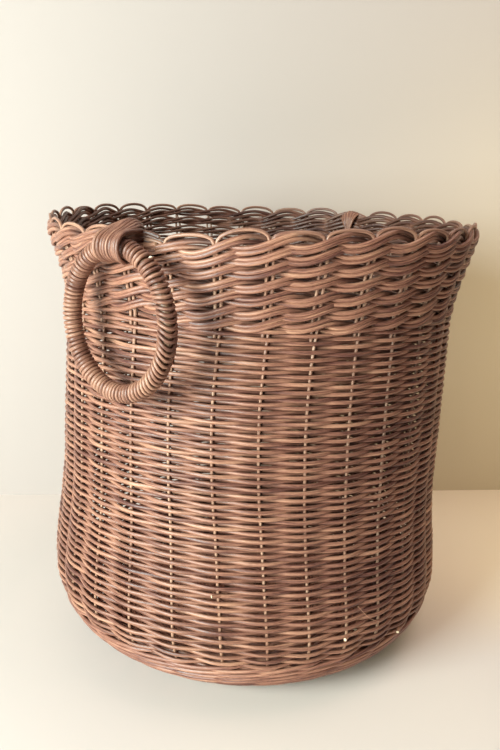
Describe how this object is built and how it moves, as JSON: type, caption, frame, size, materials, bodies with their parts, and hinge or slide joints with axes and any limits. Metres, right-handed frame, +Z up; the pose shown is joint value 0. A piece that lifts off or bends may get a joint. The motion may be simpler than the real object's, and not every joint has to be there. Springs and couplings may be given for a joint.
{
  "type": "rattan basket",
  "caption": "Round woven basket with a rounded foot, flared twined rim band, scalloped border and hanging ring handles lashed to the rim.",
  "frame": {"origin": "centre of the basket's round footprint, on the floor", "axes": "+Z up, through the middle of the basket; the ring handles hang at -X and +X, and -Y is the side that both handles are tied nearer to"},
  "size_m": [0.4391, 0.3918, 0.4042],
  "materials": {
    "weaver_cane": "satin, dyed reddish brown round cane strands",
    "foot_cane": "satin, darker dyed round cane strands",
    "stake_cane": "satin, lighter dyed round cane rods",
    "base_stick_cane": "matt, thicker cane rods",
    "hoop_cane": "matt, bent thick cane",
    "wrapping_cane": "satin, dyed cane strand with lengthwise grain"
  },
  "bodies": {
    "basket": {"split_base_stick_1": "base_stick_cane", "through_base_stick_1": "base_stick_cane", "split_base_stick_2": "base_stick_cane", "through_base_stick_2": "base_stick_cane", "split_base_stick_3": "base_stick_cane", "through_base_stick_3": "base_stick_cane", "split_base_stick_4": "base_stick_cane", "through_base_stick_4": "base_stick_cane", "stake_01": "stake_cane", "stake_02": "stake_cane", "stake_03": "stake_cane", "stake_04": "stake_cane", "stake_05": "stake_cane", "stake_06": "stake_cane", "stake_07": "stake_cane", "stake_08": "stake_cane", "stake_09": "stake_cane", "stake_10": "stake_cane", "stake_11": "stake_cane", "stake_12": "stake_cane", "stake_13": "stake_cane", "stake_14": "stake_cane", "stake_15": "stake_cane", "stake_16": "stake_cane", "stake_17": "stake_cane", "stake_18": "stake_cane", "stake_19": "stake_cane", "stake_20": "stake_cane", "stake_21": "stake_cane", "stake_22": "stake_cane", "stake_23": "stake_cane", "stake_24": "stake_cane", "stake_25": "stake_cane", "stake_26": "stake_cane", "stake_27": "stake_cane", "stake_28": "stake_cane", "stake_29": "stake_cane", "stake_30": "stake_cane", "stake_31": "stake_cane", "base_weave": "weaver_cane", "foot_weave": "foot_cane", "wall_weave": "weaver_cane", "band_weave": "weaver_cane", "left_ring_lashing": "wrapping_cane", "right_ring_lashing": "wrapping_cane"},
    "left_ring": {"left_ring_hoop": "hoop_cane", "left_ring_wrapping": "wrapping_cane"},
    "right_ring": {"right_ring_hoop": "hoop_cane", "right_ring_wrapping": "wrapping_cane"}
  },
  "joints": [
    {"name": "left_ring_swing", "type": "hinge", "parent": "basket", "child": "left_ring", "pos_m": [-0.20511, -0.00541, 0.382], "axis": [0.113, 0.9936, 0], "range_deg": [-4, 150]},
    {"name": "right_ring_swing", "type": "hinge", "parent": "basket", "child": "right_ring", "pos_m": [0.20511, -0.00541, 0.382], "axis": [0.113, -0.9936, 0], "range_deg": [-4, 150]}
  ]
}
